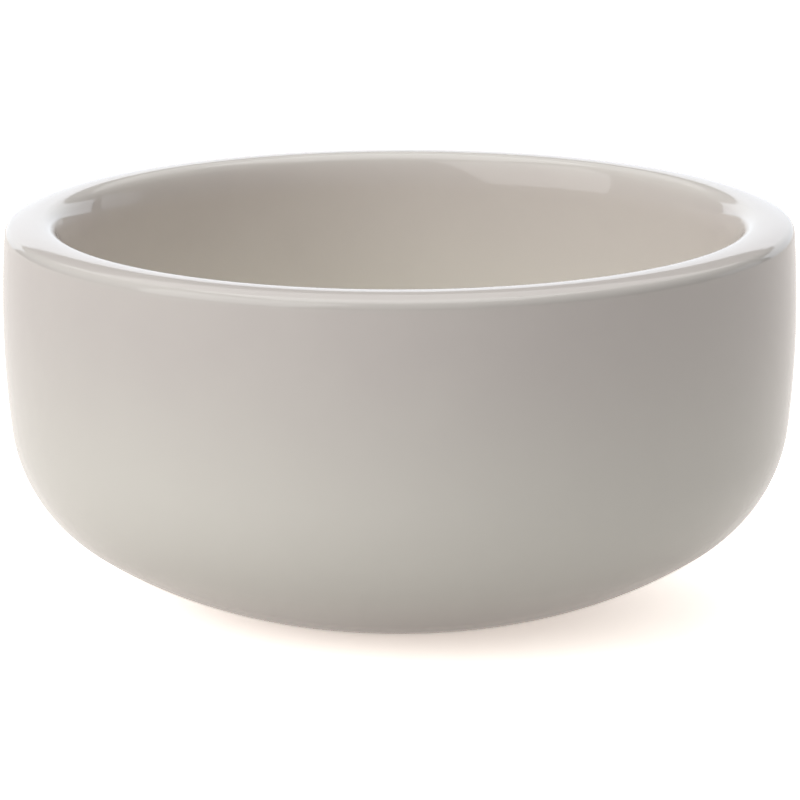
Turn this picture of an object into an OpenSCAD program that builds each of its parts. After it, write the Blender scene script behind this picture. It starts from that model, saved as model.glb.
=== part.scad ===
// Thick-walled porcelain bowl for working up shaving lather.
// One turned and glazed piece: a fired body, and the glass that coats it.
// The origin is the centre of the foot on the table, with +Z up.

/* [Overall] */
// Diameter over the glaze at the widest level
bowl_d = 120; // [100:1:144]
// Height from the table to the crest of the rim
bowl_h = 58.7; // [48:0.1:72]
// Thickness of the upright wall, glaze included
wall_t = 8.9; // [5:0.1:11]
// Thickness in the middle of the floor, glaze included
floor_t = 6.6; // [4:0.1:10]
// Thickness of the glaze
glaze_t = 0.3; // [0.1:0.05:0.5]

/* [Outside] */
// Drop from the crest of the rim to the widest level
widest_drop = 12.9; // [8:0.1:16]
// Radius of the slight barrel of the wall
barrel_r = 157; // [120:1:300]
// Radius of the belly, where the wall turns under
belly_r = 23.7; // [18:0.1:29]
// Radius of the underside between the belly and the foot
under_r = 69.5; // [60:0.5:90]
// Angle at which the underside lifts off the table at the foot
lift_angle = 10.5; // [8:0.5:13]

/* [Rim] */
// Radius of the soft crown across the rim
crown_r = 12; // [9:0.5:40]
// Place of the crest across the wall from outside, as a share of the wall
crest_share = 0.58; // [0.5:0.01:0.58]
// Rounding of the rim's outer edge, as a share of the wall
rim_outer_share = 0.18; // [0.1:0.01:0.25]
// Rounding of the rim's inner edge, as a share of the wall
rim_inner_share = 0.29; // [0.15:0.01:0.3]
// Radius of the throat, the easy curve from the rim to the inner wall, as a share of the wall
throat_share = 1; // [0.9:0.05:1.2]
// Depth of the throat's end below the crest, as a share of the wall
throat_depth = 0.66; // [0.6:0.01:0.66]

/* [Inside] */
// Radius where the inner wall turns into the floor
well_r = 18; // [12:0.5:29]
// Radius of the dished middle of the floor
dish_r = 160; // [120:5:240]

/* [Foot] */
// Outer diameter of the ring that it stands on
foot_d = 45; // [37:0.5:54]
// Width of the standing ring
foot_w = 3.2; // [2:0.1:5]
// Height of the recess inside the ring
recess_h = 1.8; // [1.4:0.1:3]
// Fillet between the recess's side and ceiling
recess_fillet_r = 1.0; // [0.7:0.1:1.3]
// Rounding of the ring's ground inner edge
foot_edge_r = 0.4; // [0.2:0.1:0.8]
// Width of the underside that is wiped bare of glaze around the ring
wiped_w = 3; // [2.5:0.1:5]
// Height to which the recess's side is wiped bare
wiped_h = 0.6; // [0.4:0.1:0.8]

/* [Hidden] */
$fn = 144;
// Largest gap between a drawn arc and the true one
arc_gap = 0.01;

// Every outline is the finished surface set back by a depth: 0 is the outside of the glaze, and
// glaze_t is the body under it. All arcs keep their centres, so that the two stay parallel.
foot_r = foot_d / 2;
recess_r = foot_r - foot_w;
inside_r = barrel_r - wall_t;
rim_outer_r = rim_outer_share * wall_t;
rim_inner_r = rim_inner_share * wall_t;
throat_r = throat_share * wall_t;
under_body_r = under_r - glaze_t;
barrel_c = [bowl_d / 2 - barrel_r, bowl_h - widest_drop];
crown_c = [bowl_d / 2 - crest_share * wall_t, bowl_h - crown_r];
under_c = [foot_r - under_body_r * sin(lift_angle), under_body_r * cos(lift_angle)];
dish_c = [0, recess_h - glaze_t + floor_t + dish_r];
// The floor sweeps up round the underside's centre, so the wall under it is even
sweep_c = [max(0, under_c[0]), under_c[1]];
sweep_r = dish_r - norm(dish_c - sweep_c);
belly_c = meeting_point(barrel_c, barrel_r - belly_r, under_c, under_r - belly_r);
well_c = meeting_point(barrel_c, inside_r - well_r, sweep_c, sweep_r - well_r);
rim_outer_c = meeting_point(crown_c, crown_r - rim_outer_r, barrel_c, barrel_r - rim_outer_r);
throat_inside_a = asin((widest_drop - throat_depth * wall_t) / inside_r);
throat_c = barrel_c + (inside_r + throat_r) * [cos(throat_inside_a), sin(throat_inside_a)];
rim_inner_c = meeting_point(throat_c, throat_r - rim_inner_r, crown_c, crown_r - rim_inner_r);

// Directions, in degrees, in which one arc runs into the next
under_belly_a = heading(under_c, belly_c);
belly_barrel_a = heading(barrel_c, belly_c);
barrel_rim_a = heading(barrel_c, rim_outer_c);
rim_crown_a = heading(crown_c, rim_outer_c);
crown_rim_a = heading(crown_c, rim_inner_c);
rim_throat_a = heading(throat_c, rim_inner_c);
inside_well_a = heading(barrel_c, well_c);
well_sweep_a = heading(sweep_c, well_c);
sweep_dish_a = heading(dish_c, sweep_c);
glaze_stop_a = -acos((foot_r + wiped_w - under_c[0]) / under_body_r);

function heading(from, to) = atan2(to[1] - from[1], to[0] - from[0]);

// Point at distance d1 from c1 and d2 from c2, to the right of the way from c1 to c2
function meeting_point(c1, d1, c2, d2) =
    let (
        gap = norm(c2 - c1),
        along = (c2 - c1) / gap,
        across = [along[1], -along[0]],
        reach = (pow(gap, 2) + pow(d1, 2) - pow(d2, 2)) / (2 * gap)
    )
    c1 + reach * along + sqrt(pow(d1, 2) - pow(reach, 2)) * across;

// Points of an arc from one direction to another, ends included, and none where it has no length
function arc(c, r, from, to) =
    let (
        step = 2 * acos(1 - arc_gap / r),
        count = from == to ? 0 : max(2, ceil(abs(to - from) / step))
    )
    [for (i = [0:count]) if (count > 0) let (a = from + (to - from) * i / count) c + r * [cos(a), sin(a)]];

function reversed(points) = [for (i = [len(points) - 1:-1:0]) points[i]];

// Bare part of the underside, from the table to where the glaze stops
function wiped_line() = arc(under_c, under_body_r, -90 + lift_angle, glaze_stop_a);

// Underside and outer wall, from where the glaze stops up to the rim
function outside_line(depth) = concat(
    arc(under_c, under_r - depth, glaze_stop_a, under_belly_a),
    arc(belly_c, belly_r - depth, under_belly_a, belly_barrel_a),
    arc(barrel_c, barrel_r - depth, belly_barrel_a, 0),
    arc(barrel_c, barrel_r - depth, 0, barrel_rim_a)
);

// Rim, from its outer edge over the crown and its inner edge to the end of the throat
function rim_line(depth) = concat(
    arc(rim_outer_c, rim_outer_r - depth, barrel_rim_a, rim_crown_a),
    arc(crown_c, crown_r - depth, rim_crown_a, 90),
    arc(crown_c, crown_r - depth, 90, crown_rim_a),
    arc(rim_inner_c, rim_inner_r - depth, crown_rim_a, rim_throat_a),
    arc(throat_c, throat_r - depth, rim_throat_a, 180 + throat_inside_a)
);

// Inner wall and floor, from the throat to the axis
function inside_line(depth) = concat(
    arc(barrel_c, inside_r + depth, throat_inside_a, inside_well_a),
    arc(well_c, well_r + depth, inside_well_a, well_sweep_a),
    arc(sweep_c, sweep_r + depth, well_sweep_a, sweep_dish_a),
    arc(dish_c, dish_r + depth, sweep_dish_a, -90)
);

// Recess under the floor, from the axis to the given height on its side
function recess_line(depth, stop_h) =
    let (fillet_c = [recess_r - recess_fillet_r, recess_h - recess_fillet_r])
    concat(
        [[0, recess_h - depth]],
        arc(fillet_c, recess_fillet_r - depth, 90, 0),
        [[recess_r - depth, stop_h]]
    );

// Inner edge of the ground ring, whose outer edge is where the underside lifts off the table
function foot_edge_line() = arc([recess_r + foot_edge_r, foot_edge_r], foot_edge_r, 180, 270);

module porcelain_body() {
    color([0.90, 0.87, 0.82])
        rotate_extrude()
            polygon(concat(
                recess_line(0, foot_edge_r),
                foot_edge_line(),
                wiped_line(),
                outside_line(glaze_t),
                rim_line(glaze_t),
                inside_line(glaze_t)
            ));
}

module bowl_glaze() {
    color([0.84, 0.81, 0.77])
        rotate_extrude()
            polygon(concat(
                outside_line(0),
                rim_line(0),
                inside_line(0),
                reversed(inside_line(glaze_t)),
                reversed(rim_line(glaze_t)),
                reversed(outside_line(glaze_t))
            ));
}

module foot_recess_glaze() {
    color([0.86, 0.83, 0.79])
        rotate_extrude()
            polygon(concat(recess_line(glaze_t, wiped_h), reversed(recess_line(0, wiped_h))));
}

porcelain_body();
bowl_glaze();
foot_recess_glaze();
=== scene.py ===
"""Dresses the CAD frame of a thick porcelain lather bowl: the turned body, its glaze and the studio."""

import math

import bpy
from bpy.props import FloatProperty, FloatVectorProperty, IntProperty, PointerProperty
from mathutils import Matrix, Vector


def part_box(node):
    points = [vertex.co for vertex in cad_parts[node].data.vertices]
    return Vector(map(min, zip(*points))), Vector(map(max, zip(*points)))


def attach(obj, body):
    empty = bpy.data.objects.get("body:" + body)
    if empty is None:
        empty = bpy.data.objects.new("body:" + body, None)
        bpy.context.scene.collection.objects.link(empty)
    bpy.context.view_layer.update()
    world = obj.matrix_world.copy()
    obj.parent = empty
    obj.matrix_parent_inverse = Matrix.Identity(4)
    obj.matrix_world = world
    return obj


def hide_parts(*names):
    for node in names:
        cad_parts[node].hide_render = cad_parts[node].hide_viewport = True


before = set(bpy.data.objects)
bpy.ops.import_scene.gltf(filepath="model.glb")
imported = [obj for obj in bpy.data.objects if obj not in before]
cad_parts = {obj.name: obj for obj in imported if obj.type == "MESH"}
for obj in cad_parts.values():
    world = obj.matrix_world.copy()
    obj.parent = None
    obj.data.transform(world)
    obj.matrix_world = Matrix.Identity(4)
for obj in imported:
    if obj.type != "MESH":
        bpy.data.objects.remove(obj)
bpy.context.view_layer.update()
GLAZE_LOW, GLAZE_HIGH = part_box("bowl_glaze")
RECESS_LOW, RECESS_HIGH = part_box("foot_recess_glaze")

bl_info = {
    "name": "Porcelain Lather Bowl",
    "version": (1, 0, 0),
    "blender": (4, 5, 0),
    "location": "View3D > Sidebar > Lather Bowl",
    "description": "Turns, glazes and lights a thick-walled porcelain shaving bowl",
    "category": "Add Mesh",
}

MM = 0.001
SEAM_GAP = 0.001 * MM

# Directions in the section, in radians
RIGHT, UP, LEFT, DOWN = 0.0, math.pi / 2, math.pi, -math.pi / 2

# Sizes of the marks in the finishes
# Reach of the painted light that pales the glaze inside the bowl, out from the well
PAINTED_LIGHT_REACH = 32 * MM
CLOUD_SIZE = 18 * MM
HAZE_SIZE = 6 * MM
SPECK_SPACING, SPECK_RADIUS, SPECK_CHANCE = 9 * MM, 0.2 * MM, 0.3
PEEL_SIZE, PEEL_DEPTH = 2.2 * MM, 0.01 * MM
BARE_CLOUD_SIZE = 7 * MM
PIT_SPACING, PIT_RADIUS, PIT_CHANCE = 2.5 * MM, 0.12 * MM, 0.25
GROOVE_SIZE, GRAIN_SIZE, BARE_DEPTH = 0.22 * MM, 0.35 * MM, 0.03 * MM
GROUND_LOW, GROUND_HIGH = 0.05 * MM, 0.3 * MM
PAPER_CLOUD_SIZE = 0.4

# How strongly each mark colours what it lies on, from 0 to 1
THIN_SHARE, CLOUD_SHARE, SPECK_SHARE, SCUFF_SHARE, PIT_SHARE = 0.7, 0.12, 0.5, 0.6, 0.6

# Seeds of the random patterns
SWAY_SEED, CLOUD_SEED, HAZE_SEED, BARE_SEED, PAPER_SEED = 4.0, 3.0, 8.0, 5.0, 1.0

GLASS_IOR = 1.5


# ---------------------------------------------------------------- sizes and colours


def length(name, description, default):
    """A size in metres."""
    return FloatProperty(
        name=name, description=description, default=default, min=0.0, unit="LENGTH", precision=5
    )


def angle(name, description, degrees):
    return FloatProperty(
        name=name, description=description, default=math.radians(degrees), subtype="ANGLE"
    )


def colour(name, description, default):
    return FloatVectorProperty(
        name=name, description=description, default=default, min=0.0, max=1.0, size=3, subtype="COLOR"
    )


def amount(name, description, default):
    return FloatProperty(name=name, description=description, default=default, min=0.0)


class BowlSizes(bpy.types.PropertyGroup):
    """Sizes of the finished bowl, over the glaze."""

    width: length("Width", "Diameter at the widest level", GLAZE_HIGH.x - GLAZE_LOW.x)
    height: length("Height", "Table to the crest of the rim", GLAZE_HIGH.z)
    wall: length("Wall", "Thickness of the upright wall", 8.9 * MM)
    floor: length("Floor", "Thickness in the middle of the floor", 6.6 * MM)
    glaze: length("Glaze", "Thickness of the glaze", 0.3 * MM)
    widest_drop: length("Widest Drop", "Rim's crest to the widest level", 12.9 * MM)
    barrel: length("Barrel", "Radius of the wall's slight barrel", 157 * MM)
    belly: length("Belly", "Radius of the belly", 23.7 * MM)
    underside: length("Underside", "Radius of the underside's sweep", 69.5 * MM)
    lift: angle("Lift", "Angle at which the underside leaves the table", 10.5)
    crown: length("Crown", "Radius of the crown across the rim", 12 * MM)
    rim_outer: amount("Rim Outer", "Rounding of the rim's outer edge, as a share of the wall", 0.18)
    crest: amount("Crest", "Place of the crest across the wall, from outside, as a share of the wall", 0.58)
    rim_inner: amount("Rim Inner", "Rounding of the rim's inner edge, as a share of the wall", 0.29)
    throat: amount("Throat", "Radius of the curve under the rim's inner edge, as a share of the wall", 1.0)
    throat_depth: amount("Throat Depth", "Crest to the throat's end, as a share of the wall", 0.66)
    well: length("Well", "Radius where the inner wall turns into the floor", 18 * MM)
    dish: length("Dish", "Radius of the dished middle of the floor", 160 * MM)
    foot: length("Foot", "Outer diameter of the standing ring", 45 * MM)
    ring: length("Ring", "Width of the standing ring", 3.2 * MM)
    recess: length("Recess", "Height of the recess inside the ring", RECESS_HIGH.z)
    recess_fillet: length("Recess Fillet", "Fillet under the recess's ceiling", 1.0 * MM)
    foot_edge: length("Foot Edge", "Rounding of the ring's inner edge", 0.4 * MM)
    wiped: length("Wiped Band", "Bare width round the ring", 3 * MM)
    wiped_side: length("Wiped Side", "Bare height of the recess's side", RECESS_LOW.z)
    sway: length("Glaze Sway", "Slow unevenness of the glaze's surface", 0.03 * MM)
    sway_size: length("Sway Size", "Width of one swell of that unevenness", 20 * MM)
    segments: IntProperty(
        name="Segments", description="Faces round the bowl", default=288, min=24, max=720
    )


class BowlLooks(bpy.types.PropertyGroup):
    """Colours and finish of the fired ware."""

    glaze: colour("Glaze", "Glaze at its usual thickness", (0.732, 0.676, 0.638))
    thin_glaze: colour("Thin Glaze", "Where it thins over an edge", (0.78, 0.745, 0.70))
    # Painted light: a paler glaze that brightens the inside of the bowl; the same colour also tints the
    # random clouds
    pale_glaze_and_painted_light: colour("Pale Glaze And Painted Light", "Paler glaze: painted light inside the bowl round the well, and random clouds", (0.90, 0.872, 0.79))
    specks: colour("Specks", "Fine iron specks fired into the glaze", (0.22, 0.18, 0.14))
    biscuit: colour("Bare Porcelain", "Unglazed, ground foot", (0.70, 0.655, 0.585))
    glaze_roughness: amount("Glaze Roughness", "Sheen of the glaze", 0.06)
    biscuit_roughness: amount("Bare Roughness", "Sheen of the bare porcelain", 0.62)


class BowlStudio(bpy.types.PropertyGroup):
    """Camera and light."""

    distance: length("Distance", "Camera to the point that it looks at", 0.9535)
    elevation: angle("Elevation", "Camera above the horizon", 12.76)
    roll: angle("Roll", "Camera's lean to one side", 0.12)
    aim_height: length("Aim Height", "Height that the camera looks at", 30.3 * MM)
    lens: FloatProperty(name="Lens", description="Focal length in millimetres", default=282.6)
    sight: length("Sight", "How far the camera sees", 20.0)
    floor: colour("Floor", "The pale paper under the bowl, as it lights the bowl", (0.72, 0.71, 0.7))
    floor_radius: length("Floor Radius", "From the bowl's axis to the paper's edge", 3.0)
    floor_shows: amount("Floor Shows", "How many times paler the paper is to the camera", 3.2)
    glow: colour("Glow", "Light of the paper's own, which lights nothing", (0.54, 0.485, 0.445))
    glow_mirrored: amount("Glow Mirrored", "Share of the glow that the glaze mirrors", 0.9)
    air: amount("Air", "Strength of the even light from all round", 0.19)
    light_distance: length("Light Distance", "Soft lights to the bowl", 1.5)


# ---------------------------------------------------------------- the section, as arcs


def heading(start, end):
    """Direction from one point of the section to another, in radians."""
    return math.atan2(end[1] - start[1], end[0] - start[0])


def meeting_point(c1, d1, c2, d2):
    """Point at distance d1 from c1 and d2 from c2, to the right of the way from c1 to c2."""
    along = (c2 - c1).normalized()
    gap = (c2 - c1).length
    reach = (gap**2 + d1**2 - d2**2) / (2 * gap)
    side = math.sqrt(d1**2 - reach**2)
    return c1 + along * reach + Vector((along.y, -along.x)) * side


class Arc:
    """A round stretch of the section. Depth moves it from the glaze's surface into the body."""

    def __init__(self, name, centre, radius, start, end, rings, inner=False):
        self.name, self.centre, self.radius = name, centre, radius
        self.start, self.end, self.rings, self.inner = start, end, rings, inner

    def at_depth(self, depth):
        radius = self.radius + depth if self.inner else self.radius - depth
        return Arc(self.name, self.centre, radius, self.start, self.end, self.rings, self.inner)

    def coarser(self):
        """The same arc for a surface that nobody sees."""
        rings = max(2, self.rings // 3)
        return Arc(self.name, self.centre, self.radius, self.start, self.end, rings, self.inner)

    def reversed(self):
        name = self.name + " Back"
        return Arc(name, self.centre, self.radius, self.end, self.start, self.rings, self.inner)

    def first(self):
        return self.point(self.start)

    def last(self):
        return self.point(self.end)

    def point(self, turn):
        return self.centre + Vector((math.cos(turn), math.sin(turn))) * self.radius


class Line:
    """A straight stretch of the section."""

    def __init__(self, name, start, end, rings=1):
        self.name, self.start, self.end, self.rings = name, Vector(start), Vector(end), rings


class Section:
    """Half of the bowl's section: distance from the axis, then height."""

    def __init__(self, s):
        self.s = s
        foot = s.foot / 2
        body_underside = s.underside - s.glaze
        inside = s.barrel - s.wall
        barrel = Vector((s.width / 2 - s.barrel, s.height - s.widest_drop))
        crown = Vector((s.width / 2 - s.crest * s.wall, s.height - s.crown))
        under = Vector((foot - body_underside * math.sin(s.lift), body_underside * math.cos(s.lift)))
        dish = Vector((0, s.recess - s.glaze + s.floor + s.dish))
        sweep = Vector((max(0, under.x), under.y))
        sweep_radius = s.dish - (dish - sweep).length
        belly = meeting_point(barrel, s.barrel - s.belly, under, s.underside - s.belly)
        well = meeting_point(barrel, inside - s.well, sweep, sweep_radius - s.well)
        outer_radius = s.rim_outer * s.wall
        inner_radius = s.rim_inner * s.wall
        throat_radius = s.throat * s.wall
        rim_outer = meeting_point(crown, s.crown - outer_radius, barrel, s.barrel - outer_radius)
        throat_end = math.asin((s.widest_drop - s.throat_depth * s.wall) / inside)
        throat = barrel + (inside + throat_radius) * Vector((math.cos(throat_end), math.sin(throat_end)))
        rim_inner = meeting_point(throat, throat_radius - inner_radius, crown, s.crown - inner_radius)
        self.glaze_stop = -math.acos((foot + s.wiped - under.x) / body_underside)
        self.under, self.body_underside = under, body_underside
        under_belly, belly_barrel = heading(under, belly), heading(barrel, belly)
        barrel_rim, rim_crown = heading(barrel, rim_outer), heading(crown, rim_outer)
        crown_rim, rim_throat = heading(crown, rim_inner), heading(throat, rim_inner)
        inside_well, well_sweep = heading(barrel, well), heading(sweep, well)
        sweep_dish = heading(dish, sweep)
        # Name, centre, radius, where it starts and ends, and the rings of faces along it
        self.skin = [
            Arc("Underside", under, s.underside, self.glaze_stop, under_belly, 14),
            Arc("Belly", belly, s.belly, under_belly, belly_barrel, 24),
            Arc("Barrel", barrel, s.barrel, belly_barrel, barrel_rim, 22),
            Arc("Rim Outer", rim_outer, outer_radius, barrel_rim, rim_crown, 16),
            Arc("Crown", crown, s.crown, rim_crown, crown_rim, 14),
            Arc("Rim Inner", rim_inner, inner_radius, crown_rim, rim_throat, 16),
            Arc("Throat", throat, throat_radius, rim_throat, LEFT + throat_end, 12),
            Arc("Inside", barrel, inside, throat_end, inside_well, 20, inner=True),
            Arc("Well", well, s.well, inside_well, well_sweep, 20, inner=True),
            Arc("Sweep", sweep, sweep_radius, well_sweep, sweep_dish, 12, inner=True),
            Arc("Dish", dish, s.dish, sweep_dish, DOWN, 8, inner=True),
        ]

    def named(self, name):
        return next(arc for arc in self.skin if arc.name == name)

    def glaze_coat(self):
        """The coat's surface, its back against the body, and the rounded bead where it was wiped off."""
        depth = self.s.glaze
        back = [arc.at_depth(depth).coarser().reversed() for arc in reversed(self.skin)]
        first = self.skin[0]
        edge = Vector((math.cos(first.start), math.sin(first.start)))
        bead = Arc(
            "Bead", self.under + edge * (first.radius - depth / 2), depth / 2,
            first.start - LEFT, first.start, 8,
        )
        floor_middle = Line("Floor Middle", self.skin[-1].last(), back[0].first())
        return self.skin + [floor_middle] + back + [bead]

    def body(self):
        """The fired body under the glaze, with its recess and the ground ring that it stands on."""
        s = self.s
        side = s.foot / 2 - s.ring
        fillet = Vector((side - s.recess_fillet, s.recess - s.recess_fillet))
        edge_centre = Vector((side + s.foot_edge, s.foot_edge))
        recess_arc = Arc("Recess Fillet", fillet, s.recess_fillet, UP, RIGHT, 8)
        edge = Arc("Ring Inner Edge", edge_centre, s.foot_edge, LEFT, math.tau + DOWN, 6)
        bare = Arc("Wiped Band", self.under, self.body_underside, DOWN + s.lift, self.glaze_stop, 8)
        return [
            Line("Recess Ceiling", (0, s.recess), recess_arc.first(), 6),
            recess_arc,
            Line("Recess Side", recess_arc.last(), edge.first(), 2),
            edge,
            Line("Ground Ring", edge.last(), bare.first(), 4),
            bare,
        ] + [arc.at_depth(s.glaze).coarser() for arc in self.skin]

    def recess_coat(self):
        """The disc of glaze in the recess, which stops where the side was wiped."""
        s = self.s
        side = s.foot / 2 - s.ring
        centre = Vector((side - s.recess_fillet, s.recess - s.recess_fillet))
        face = Arc("Coat Fillet", centre, s.recess_fillet - s.glaze, UP, RIGHT, 8)
        back = Arc("Back Fillet", centre, s.recess_fillet, RIGHT, UP, 6)
        lip = Vector((side - s.glaze / 2, s.wiped_side + s.glaze / 2))
        bead = Arc("Bead", lip, s.glaze / 2, -LEFT, RIGHT, 8)
        return [
            Line("Coat Ceiling", (0, s.recess - s.glaze), face.first(), 8),
            face,
            Line("Coat Side", face.last(), bead.first(), 1),
            bead,
            Line("Back Side", bead.last(), back.first(), 1),
            back,
            Line("Back Ceiling", back.last(), (0, s.recess), 2),
        ]


# ---------------------------------------------------------------- laying out node trees


class NodeTable:
    """Adds nodes to a tree, sets or links their inputs and puts them in columns."""

    def __init__(self, tree):
        self.tree = tree

    def add(self, kind, inputs=None, **settings):
        node = self.tree.nodes.new(kind)
        count = len(self.tree.nodes)
        node.location = (220 * (count // 4), -260 * (count % 4))
        for name, value in settings.items():
            setattr(node, name, value)
        for key, value in (inputs or {}).items():
            self.set(node.inputs[key], value)
        return node

    def set(self, socket, value):
        if isinstance(value, bpy.types.NodeSocket):
            self.tree.links.new(value, socket)
        else:
            socket.default_value = value

    def math(self, operation, *values):
        node = self.add("ShaderNodeMath", operation=operation)
        for socket, value in zip(node.inputs, values):
            self.set(socket, value)
        return node.outputs[0]

    def hypotenuse(self, across, above):
        squares = [self.math("MULTIPLY", side, side) for side in (across, above)]
        return self.math("SQRT", self.math("ADD", *squares))

    def between(self, value, low, high, to_low=0.0, to_high=1.0, smooth=False):
        """The value, from low to high, mapped to another stretch."""
        node = self.add(
            "ShaderNodeMapRange",
            {"Value": value, "From Min": low, "From Max": high, "To Min": to_low, "To Max": to_high},
            interpolation_type="SMOOTHSTEP" if smooth else "LINEAR",
        )
        return node.outputs["Result"]

    def mix(self, mask, first, second):
        """One colour where the mask is 0 and the other where it is 1."""
        node = self.add("ShaderNodeMix", data_type="RGBA")
        factor, a, b = node.inputs[0], node.inputs[6], node.inputs[7]
        for socket, value in ((factor, mask), (a, first), (b, second)):
            self.set(socket, value)
        return node.outputs[2]


def new_group(name, kind, inputs, outputs):
    """An empty node group with named sockets, and its own input and output nodes."""
    tree = bpy.data.node_groups.new(name, kind)
    for direction, sockets in (("INPUT", inputs), ("OUTPUT", outputs)):
        for socket_name, socket_type, *default in sockets:
            socket = tree.interface.new_socket(socket_name, in_out=direction, socket_type=socket_type)
            if default:
                socket.default_value = default[0]
    table = NodeTable(tree)
    return table, table.add("NodeGroupInput").outputs, table.add("NodeGroupOutput").inputs


NUMBER = "NodeSocketFloat"
WHOLE = "NodeSocketInt"
POINT = "NodeSocketVector"
MESH = "NodeSocketGeometry"


# ---------------------------------------------------------------- the wheel: strips turned round the axis


def turn_strip(table, given, point):
    """Bends a flat grid into a strip: its X runs along the section and its Y goes once round the axis."""
    grid = table.add(
        "GeometryNodeMeshGrid",
        {
            "Size X": 1.0,
            "Size Y": 1.0,
            "Vertices X": table.math("ADD", given["Rings"], 1),
            "Vertices Y": table.math("ADD", given["Segments"], 1),
        },
    )
    place = table.add("ShaderNodeSeparateXYZ", {0: table.add("GeometryNodeInputPosition").outputs[0]})
    along = table.math("ADD", place.outputs["X"], 0.5)
    around = table.between(place.outputs["Y"], -0.5, 0.5, 0.0, -math.tau)
    turned = table.add(
        "ShaderNodeVectorRotate", {"Vector": point(along), "Angle": around}, rotation_type="Z_AXIS"
    )
    return table.add(
        "GeometryNodeSetPosition", {"Geometry": grid.outputs[0], "Position": turned.outputs[0]}
    )


def turned_arc_group():
    """A round stretch of the section, turned once round the axis."""
    table, given, result = new_group(
        "Turned Arc", "GeometryNodeTree",
        [
            ("Centre", POINT), ("Radius", NUMBER), ("Start", NUMBER), ("End", NUMBER),
            ("Rings", WHOLE), ("Segments", WHOLE),
        ],
        [("Strip", MESH)],
    )

    def point(along):
        turn = table.between(along, 0.0, 1.0, given["Start"], given["End"])
        out = table.math("MULTIPLY", given["Radius"], table.math("COSINE", turn))
        up = table.math("MULTIPLY", given["Radius"], table.math("SINE", turn))
        arm = table.add("ShaderNodeCombineXYZ", {"X": out, "Z": up})
        return table.add("ShaderNodeVectorMath", {0: given["Centre"], 1: arm.outputs[0]}).outputs[0]

    table.set(result["Strip"], turn_strip(table, given, point).outputs[0])
    return table.tree


def turned_line_group():
    """A straight stretch of the section, turned once round the axis."""
    table, given, result = new_group(
        "Turned Line", "GeometryNodeTree",
        [("Start", POINT), ("End", POINT), ("Rings", WHOLE), ("Segments", WHOLE)],
        [("Strip", MESH)],
    )

    def point(along):
        node = table.add("ShaderNodeMix", {0: along, 4: given["Start"], 5: given["End"]}, data_type="VECTOR")
        return node.outputs[1]

    table.set(result["Strip"], turn_strip(table, given, point).outputs[0])
    return table.tree


def in_space(point):
    """A point of the section, in the XZ plane."""
    return (point[0], 0.0, point[1])


def stretch_inputs(stretch):
    """The named inputs that one stretch adds to the wheel's tree: name, kind, value."""
    if isinstance(stretch, Arc):
        return [
            ("Centre", POINT, in_space(stretch.centre)), ("Radius", NUMBER, stretch.radius),
            ("Start", NUMBER, stretch.start), ("End", NUMBER, stretch.end),
        ]
    return [("Start", POINT, in_space(stretch.start)), ("End", POINT, in_space(stretch.end))]


def wheel_tree(name, stretches, arc_group, line_group):
    """Turns every stretch of a section, joins them and lets the glaze's surface sway a little."""
    common = [
        ("Segments", WHOLE), ("Sway", NUMBER), ("Sway Size", NUMBER), ("Seed", NUMBER),
        ("Finish", "NodeSocketMaterial"),
    ]
    sizes = [(f"{s.name} {part}", kind) for s in stretches for part, kind, _ in stretch_inputs(s)]
    table, given, result = new_group(name, "GeometryNodeTree", common + sizes, [("Piece", MESH)])
    join = table.add("GeometryNodeJoinGeometry")
    for stretch in stretches:
        group = arc_group if isinstance(stretch, Arc) else line_group
        strip = table.add("GeometryNodeGroup", node_tree=group)
        for part, _, _ in stretch_inputs(stretch):
            table.set(strip.inputs[part], given[f"{stretch.name} {part}"])
        table.set(strip.inputs["Rings"], stretch.rings)
        table.set(strip.inputs["Segments"], given["Segments"])
        shown = table.add(
            "GeometryNodeStoreNamedAttribute",
            {"Geometry": strip.outputs[0], "Name": "shown", "Value": float("Back" not in stretch.name)},
            data_type="FLOAT", domain="POINT",
        )
        table.set(join.inputs[0], shown.outputs[0])
    closed = table.add(
        "GeometryNodeMergeByDistance", {"Geometry": join.outputs[0], "Distance": SEAM_GAP}
    )
    noise = table.add(
        "ShaderNodeTexNoise",
        {"Scale": table.math("DIVIDE", 1.0, given["Sway Size"]), "W": given["Seed"], "Detail": 1.0},
        noise_dimensions="4D",
    )
    shown = table.add("GeometryNodeInputNamedAttribute", {"Name": "shown"}, data_type="FLOAT")
    dip = table.math("MULTIPLY", noise.outputs[0], shown.outputs[0])
    dip = table.math("MULTIPLY", dip, table.math("MULTIPLY", given["Sway"], -1.0))
    inward = table.add(
        "ShaderNodeVectorMath", {0: table.add("GeometryNodeInputNormal").outputs[0], "Scale": dip},
        operation="SCALE",
    )
    swayed = table.add(
        "GeometryNodeSetPosition", {"Geometry": closed.outputs[0], "Offset": inward.outputs[0]}
    )
    plain = table.add("GeometryNodeRemoveAttribute", {"Geometry": swayed.outputs[0], "Name": "shown"})
    smooth = table.add("GeometryNodeSetShadeSmooth", {"Geometry": plain.outputs[0]})
    finish = table.add(
        "GeometryNodeSetMaterial", {"Geometry": smooth.outputs[0], "Material": given["Finish"]}
    )
    table.set(result["Piece"], finish.outputs[0])
    return table.tree


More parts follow.
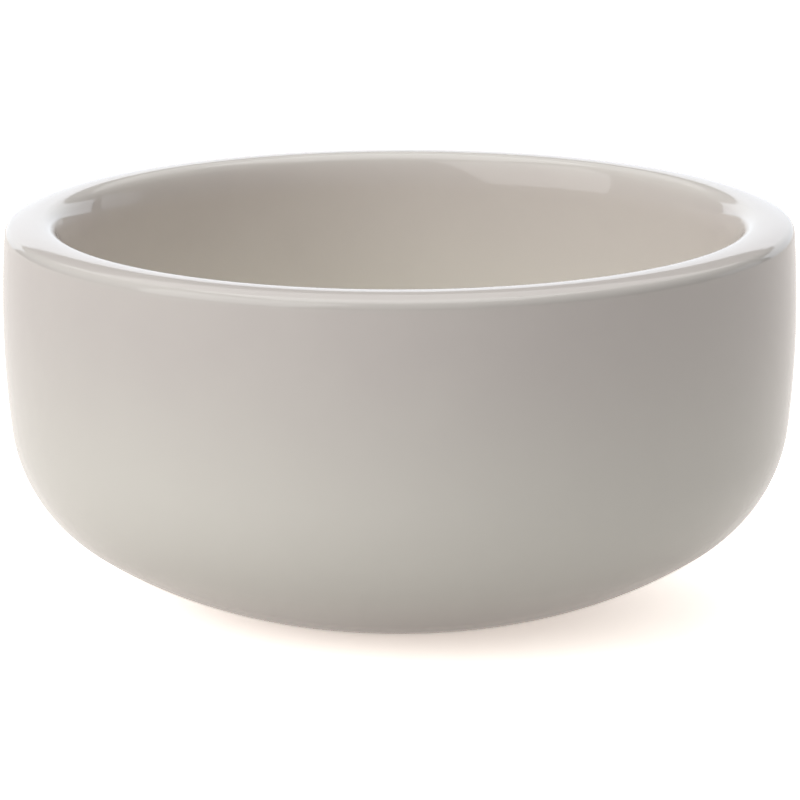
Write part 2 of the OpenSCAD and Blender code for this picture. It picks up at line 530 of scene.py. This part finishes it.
def turned_piece(name, stretches, finish, sizes, sway=0.0):
    """A closed piece of revolution as a plain mesh, made on the wheel's tree."""
    groups = [
        bpy.data.node_groups.get("Turned Arc") or turned_arc_group(),
        bpy.data.node_groups.get("Turned Line") or turned_line_group(),
    ]
    tree = wheel_tree(f"{name} wheel", stretches, *groups)
    piece = bpy.data.objects.new(name, bpy.data.meshes.new(name))
    bpy.context.scene.collection.objects.link(piece)
    wheel = piece.modifiers.new("Wheel", "NODES")
    wheel.node_group = tree
    values = {
        "Segments": sizes.segments, "Sway": sway, "Sway Size": sizes.sway_size, "Seed": SWAY_SEED,
        "Finish": finish,
    }
    values.update({f"{s.name} {part}": value for s in stretches for part, _, value in stretch_inputs(s)})
    for socket in tree.interface.items_tree:
        if socket.item_type == "SOCKET" and socket.in_out == "INPUT":
            wheel[socket.identifier] = values[socket.name]
    shaped = piece.evaluated_get(bpy.context.evaluated_depsgraph_get())
    mesh = bpy.data.meshes.new_from_object(shaped)
    piece.modifiers.clear()
    piece.data = mesh
    mesh.name = name
    return piece


# ---------------------------------------------------------------- finishes


def rgba(value):
    return (value[0], value[1], value[2], 1.0)


def bowl_place_group():
    """Where on the bowl: distance out from its axis and height above the table."""
    table, _, result = new_group(
        "Place On Bowl", "ShaderNodeTree", [], [("Out", NUMBER), ("Up", NUMBER)]
    )
    spot = table.add("ShaderNodeSeparateXYZ", {0: table.add("ShaderNodeTexCoord").outputs["Object"]})
    table.set(result["Out"], table.hypotenuse(spot.outputs["X"], spot.outputs["Y"]))
    table.set(result["Up"], spot.outputs["Z"])
    return table.tree


def near_ring_group(place_group):
    """A mask that is 1 on a ring round the axis and fades to 0 at the reach from it."""
    table, given, result = new_group(
        "Near Ring", "ShaderNodeTree", [("Ring Out", NUMBER), ("Ring Up", NUMBER), ("Reach", NUMBER)],
        [("Mask", NUMBER)],
    )
    place = table.add("ShaderNodeGroup", node_tree=place_group)
    across = table.math("SUBTRACT", place.outputs["Out"], given["Ring Out"])
    above = table.math("SUBTRACT", place.outputs["Up"], given["Ring Up"])
    share = table.math("DIVIDE", table.hypotenuse(across, above), given["Reach"])
    table.set(result["Mask"], table.between(share, 0.0, 1.0, 1.0, 0.0, smooth=True))
    return table.tree


def mottle_group():
    """Slow, cloudy variation from 0 to 1, of a given size."""
    table, given, result = new_group(
        "Kiln Mottle", "ShaderNodeTree", [("Size", NUMBER, 0.02), ("Seed", NUMBER)], [("Cloud", NUMBER)]
    )
    noise = table.add(
        "ShaderNodeTexNoise",
        {
            "Vector": table.add("ShaderNodeTexCoord").outputs["Object"], "W": given["Seed"],
            "Scale": table.math("DIVIDE", 1.0, given["Size"]), "Detail": 3.0,
        },
        noise_dimensions="4D",
    )
    table.set(result["Cloud"], table.between(noise.outputs[0], 0.3, 0.7, smooth=True))
    return table.tree


def speck_group():
    """Sparse round specks: 1 in a speck and 0 round it. Chance is the share of cells with one."""
    table, given, result = new_group(
        "Kiln Specks", "ShaderNodeTree",
        [("Spacing", NUMBER, 0.01), ("Radius", NUMBER, 0.0002), ("Chance", NUMBER, 0.5), ("Seed", NUMBER)],
        [("Speck", NUMBER)],
    )
    where = table.add(
        "ShaderNodeVectorMath", {0: table.add("ShaderNodeTexCoord").outputs["Object"], 1: given["Seed"]}
    )
    cells = table.add(
        "ShaderNodeTexVoronoi",
        {"Vector": where.outputs[0], "Scale": table.math("DIVIDE", 1.0, given["Spacing"])},
    )
    draw = table.add("ShaderNodeSeparateColor", {0: cells.outputs["Color"]})
    gap = table.math("MULTIPLY", cells.outputs["Distance"], given["Spacing"])
    radius = table.math("MULTIPLY", given["Radius"], table.between(draw.outputs[1], 0.0, 1.0, 0.5, 1.0))
    dot = table.between(table.math("DIVIDE", gap, radius), 0.6, 1.0, 1.0, 0.0, smooth=True)
    chosen = table.math("LESS_THAN", draw.outputs[0], given["Chance"])
    table.set(result["Speck"], table.math("MULTIPLY", dot, chosen))
    return table.tree


class Effects:
    """The shader node groups that the finishes share, each built once."""

    def __init__(self):
        groups = bpy.data.node_groups
        self.place = groups.get("Place On Bowl") or bowl_place_group()
        self.near_ring = groups.get("Near Ring") or near_ring_group(self.place)
        self.mottle = groups.get("Kiln Mottle") or mottle_group()
        self.specks = groups.get("Kiln Specks") or speck_group()

    def cloud(self, table, size, seed):
        return table.add("ShaderNodeGroup", {"Size": size, "Seed": seed}, node_tree=self.mottle).outputs[0]

    def speckle(self, table, spacing, radius, chance):
        given = {"Spacing": spacing, "Radius": radius, "Chance": chance, "Seed": 0.0}
        return table.add("ShaderNodeGroup", given, node_tree=self.specks).outputs[0]


def new_finish(name):
    """A material with an empty tree but its shader, and the table to lay its nodes out with."""
    finish = bpy.data.materials.new(name)
    finish.use_nodes = True
    finish.node_tree.nodes.clear()
    table = NodeTable(finish.node_tree)
    shader = table.add("ShaderNodeBsdfPrincipled")
    output = table.add("ShaderNodeOutputMaterial", {"Surface": shader.outputs["BSDF"]})
    output.location = (400, 300)
    return finish, table, shader.inputs


def glaze_finish(looks, sizes):
    """Glossy cream glaze: paler where it thins on the rim's edges, with fine specks and painted light that
    pales the inside of the bowl round the well.
    """
    effects = Effects()
    section = Section(sizes)
    finish, table, shader = new_finish("Cream Glaze")

    def ring(arc_name, reach):
        arc = section.named(arc_name)
        middle = arc.point((arc.start + arc.end) / 2)
        node = table.add(
            "ShaderNodeGroup", {"Ring Out": middle.x, "Ring Up": middle.y, "Reach": reach},
            node_tree=effects.near_ring,
        )
        return node.outputs[0]

    outer_edge = ring("Rim Outer", sizes.rim_outer * sizes.wall)
    inner_edge = ring("Rim Inner", sizes.rim_inner * sizes.wall)
    thin = table.math("MAXIMUM", outer_edge, inner_edge)
    # Painted light: the glaze is paler inside the bowl, fading out from the well
    painted_inside_light = ring("Well", PAINTED_LIGHT_REACH)
    cloud = effects.cloud(table, CLOUD_SIZE, CLOUD_SEED)
    tone = table.mix(painted_inside_light, rgba(looks.glaze), rgba(looks.pale_glaze_and_painted_light))
    tone = table.mix(table.math("MULTIPLY", thin, THIN_SHARE), tone, rgba(looks.thin_glaze))
    # Random clouds tinted with the same paler glaze
    tone = table.mix(table.between(cloud, 0.0, 1.0, 0.0, CLOUD_SHARE), tone, rgba(looks.pale_glaze_and_painted_light))
    fine = effects.speckle(table, SPECK_SPACING, SPECK_RADIUS, SPECK_CHANCE)
    tone = table.mix(table.math("MULTIPLY", fine, SPECK_SHARE), tone, rgba(looks.specks))
    table.set(shader["Base Color"], tone)
    haze = effects.cloud(table, HAZE_SIZE, HAZE_SEED)
    rough = table.between(haze, 0.0, 1.0, looks.glaze_roughness * 0.8, looks.glaze_roughness * 1.25)
    table.set(shader["Roughness"], rough)
    table.set(shader["IOR"], GLASS_IOR)
    peel = table.add(
        "ShaderNodeTexNoise",
        {"Vector": table.add("ShaderNodeTexCoord").outputs["Object"], "Scale": 1 / PEEL_SIZE, "Detail": 2.0},
    ).outputs[0]
    height = table.math("SUBTRACT", peel, table.math("MULTIPLY", fine, 0.8))
    bump = table.add("ShaderNodeBump", {"Strength": 0.12, "Distance": PEEL_DEPTH, "Height": height})
    table.set(shader["Normal"], bump.outputs[0])
    return finish


def biscuit_finish(looks):
    """Bare fired porcelain: matt and fine-grained, with the grinding wheel's marks round the ring."""
    effects = Effects()
    finish, table, shader = new_finish("Ground Biscuit")
    spot = table.add("ShaderNodeGroup", node_tree=effects.place)
    where = table.add("ShaderNodeTexCoord").outputs["Object"]
    grooves = table.add(
        "ShaderNodeTexNoise", {"W": spot.outputs["Out"], "Scale": 1 / GROOVE_SIZE, "Detail": 3.0},
        noise_dimensions="1D",
    ).outputs[0]
    low = table.between(spot.outputs["Up"], GROUND_LOW, GROUND_HIGH, 1.0, 0.0, smooth=True)
    grain = table.add(
        "ShaderNodeTexNoise", {"Vector": where, "Scale": 1 / GRAIN_SIZE, "Detail": 4.0}
    ).outputs[0]
    cloud = effects.cloud(table, BARE_CLOUD_SIZE, BARE_SEED)
    pits = effects.speckle(table, PIT_SPACING, PIT_RADIUS, PIT_CHANCE)
    clouded = [channel * 0.86 for channel in looks.biscuit]
    scored = [channel * 0.7 for channel in looks.biscuit]
    mottled = table.math("ADD", table.math("MULTIPLY", cloud, 0.5), table.math("MULTIPLY", grain, 0.5))
    scuffed = table.math("MULTIPLY", low, table.between(grooves, 0.45, 0.7, 0.0, SCUFF_SHARE, smooth=True))
    tone = table.mix(mottled, rgba(looks.biscuit), rgba(clouded))
    tone = table.mix(scuffed, tone, rgba(scored))
    tone = table.mix(table.math("MULTIPLY", pits, PIT_SHARE), tone, rgba(looks.specks))
    table.set(shader["Base Color"], tone)
    rough = table.between(low, 0.0, 1.0, looks.biscuit_roughness, looks.biscuit_roughness * 0.75)
    table.set(shader["Roughness"], rough)
    table.set(shader["IOR"], GLASS_IOR)
    height = table.math("ADD", table.math("MULTIPLY", grooves, low), table.math("MULTIPLY", grain, 0.6))
    bump = table.add("ShaderNodeBump", {"Strength": 0.5, "Distance": BARE_DEPTH, "Height": height})
    table.set(shader["Normal"], bump.outputs[0])
    return finish


def floor_finish(studio):
    """Plain pale paper, a little cloudy, that shows white.

    To the camera its colour is paler than to the light. Its glow is seen by the camera, and in part by what
    the glaze mirrors, and lights nothing else.
    """
    effects = Effects()
    finish, table, shader = new_finish("Studio Paper")
    cloud = effects.cloud(table, PAPER_CLOUD_SIZE, PAPER_SEED)
    ray = table.add("ShaderNodeLightPath").outputs
    shown = [channel * studio.floor_shows for channel in studio.floor]
    darker = [channel * 0.99 for channel in shown]
    pale = table.mix(cloud, rgba(shown), rgba(darker))
    table.set(shader["Base Color"], table.mix(ray["Is Camera Ray"], rgba(studio.floor), pale))
    shader["Roughness"].default_value = 0.9
    shader["Specular IOR Level"].default_value = 0.2
    mirrored = table.math("MULTIPLY", ray["Is Glossy Ray"], studio.glow_mirrored)
    seen = table.math("MAXIMUM", ray["Is Camera Ray"], mirrored)
    table.set(shader["Emission Color"], table.mix(seen, rgba((0, 0, 0)), rgba(studio.glow)))
    shader["Emission Strength"].default_value = 1.0
    return finish


# ---------------------------------------------------------------- operators


class BOWL_OT_turn_body(bpy.types.Operator):
    """Turn the fired porcelain body, with its foot"""

    bl_idname = "bowl.turn_body"
    bl_label = "Turn Body"

    def execute(self, context):
        sizes, looks = context.scene.bowl_sizes, context.scene.bowl_looks
        finish = biscuit_finish(looks)
        piece = turned_piece("fired_body", Section(sizes).body(), finish, sizes)
        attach(piece, "root")
        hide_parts("porcelain_body")
        return {"FINISHED"}


class BOWL_OT_pour_glaze(bpy.types.Operator):
    """Coat the bowl and the recess under it with glaze"""

    bl_idname = "bowl.pour_glaze"
    bl_label = "Pour Glaze"

    def execute(self, context):
        sizes, looks = context.scene.bowl_sizes, context.scene.bowl_looks
        finish = glaze_finish(looks, sizes)
        section = Section(sizes)
        coats = [
            ("glaze_coat", section.glaze_coat(), "bowl_glaze", sizes.sway),
            ("recess_coat", section.recess_coat(), "foot_recess_glaze", sizes.sway / 2),
        ]
        for name, stretches, node, sway in coats:
            piece = turned_piece(name, stretches, finish, sizes, sway)
            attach(piece, "root")
            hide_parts(node)
        return {"FINISHED"}


WHITE, COOL = (1.0, 1.0, 1.0), (0.88, 0.93, 1.0)
# Name, degrees round from behind the bowl towards its right, degrees up, width and height in metres,
# watts, tint
SOFT_BOXES = [
    ("Key", -126, 33, 1.45, 1.6, 12.0, WHITE),
    ("Backdrop", 6, 11, 2.7, 0.62, 6.5, COOL),
    ("Back Right", 66, 11, 0.6, 0.5, 0.6, COOL),
    ("Back Top", 0, 50, 1.7, 0.8, 3.2, WHITE),
    ("Top", 0, 82, 1.2, 1.2, 8.6, WHITE),
]


def soft_box(name, round_angle, up_angle, width, height, watts, tint, distance):
    """A rectangular soft light that faces the bowl. The camera doesn't see it, but the glaze mirrors it."""
    data = bpy.data.lights.new(name, "AREA")
    data.shape = "RECTANGLE"
    data.size, data.size_y = width, height
    data.energy = watts
    data.color = tint
    light = bpy.data.objects.new(name, data)
    turn, lift = math.radians(round_angle), math.radians(up_angle)
    way = Vector((math.cos(lift) * math.sin(turn), math.cos(lift) * math.cos(turn), math.sin(lift)))
    light.location = way * distance
    light.rotation_euler = way.to_track_quat("Z", "Y").to_euler()
    light.visible_camera = False
    bpy.context.scene.collection.objects.link(light)


def disc(name, radius, finish, segments=96):
    """A flat disc at the table's height, facing up."""
    rim = [
        (radius * math.cos(math.tau * i / segments), radius * math.sin(math.tau * i / segments), 0.0)
        for i in range(segments)
    ]
    mesh = bpy.data.meshes.new(name)
    mesh.from_pydata(rim, [], [list(range(segments))])
    mesh.materials.append(finish)
    floor = bpy.data.objects.new(name, mesh)
    bpy.context.scene.collection.objects.link(floor)
    return floor


class BOWL_OT_set_stage(bpy.types.Operator):
    """Lay the pale floor, hang the soft lights and place the camera"""

    bl_idname = "bowl.set_stage"
    bl_label = "Set Stage"

    def execute(self, context):
        scene, studio = context.scene, context.scene.bowl_studio
        disc("studio_floor", studio.floor_radius, floor_finish(studio))
        for box in SOFT_BOXES:
            soft_box(*box, studio.light_distance)
        world = bpy.data.worlds.new("Studio Air")
        world.use_nodes = True
        air = world.node_tree.nodes["Background"]
        air.inputs["Color"].default_value = (1.0, 1.0, 1.0, 1.0)
        air.inputs["Strength"].default_value = studio.air
        scene.world = world
        camera = bpy.data.objects.new("Studio Camera", bpy.data.cameras.new("Studio Camera"))
        camera.data.lens = studio.lens
        camera.data.clip_end = studio.sight
        aim = Vector((0, 0, studio.aim_height))
        back = Vector((0, -math.cos(studio.elevation), math.sin(studio.elevation)))
        camera.location = aim + back * studio.distance
        tilt = Matrix.Rotation(math.pi / 2 - studio.elevation, 4, "X")
        lean = Matrix.Rotation(-studio.roll, 4, "Z")
        camera.rotation_euler = (tilt @ lean).to_euler()
        scene.collection.objects.link(camera)
        scene.camera = camera
        scene.view_settings.view_transform = "Standard"
        return {"FINISHED"}


class BOWL_PT_panel(bpy.types.Panel):
    """The bowl's steps, sizes and colours"""

    bl_idname = "BOWL_PT_panel"
    bl_label = "Lather Bowl"
    bl_space_type = "VIEW_3D"
    bl_region_type = "UI"
    bl_category = "Lather Bowl"

    def draw(self, context):
        for operator in (BOWL_OT_turn_body, BOWL_OT_pour_glaze, BOWL_OT_set_stage):
            self.layout.operator(operator.bl_idname)
        scene = context.scene
        for group in (scene.bowl_sizes, scene.bowl_looks, scene.bowl_studio):
            box = self.layout.box()
            for name in group.__annotations__:
                box.prop(group, name)


CLASSES = (
    BowlSizes, BowlLooks, BowlStudio, BOWL_OT_turn_body, BOWL_OT_pour_glaze, BOWL_OT_set_stage, BOWL_PT_panel,
)


def register():
    for each in CLASSES:
        bpy.utils.register_class(each)
    bpy.types.Scene.bowl_sizes = PointerProperty(type=BowlSizes)
    bpy.types.Scene.bowl_looks = PointerProperty(type=BowlLooks)
    bpy.types.Scene.bowl_studio = PointerProperty(type=BowlStudio)


def unregister():
    del bpy.types.Scene.bowl_studio
    del bpy.types.Scene.bowl_looks
    del bpy.types.Scene.bowl_sizes
    for each in reversed(CLASSES):
        bpy.utils.unregister_class(each)


def main():
    register()
    bpy.ops.bowl.turn_body()
    bpy.ops.bowl.pour_glaze()
    bpy.ops.bowl.set_stage()


if __name__ == "__main__":
    main()
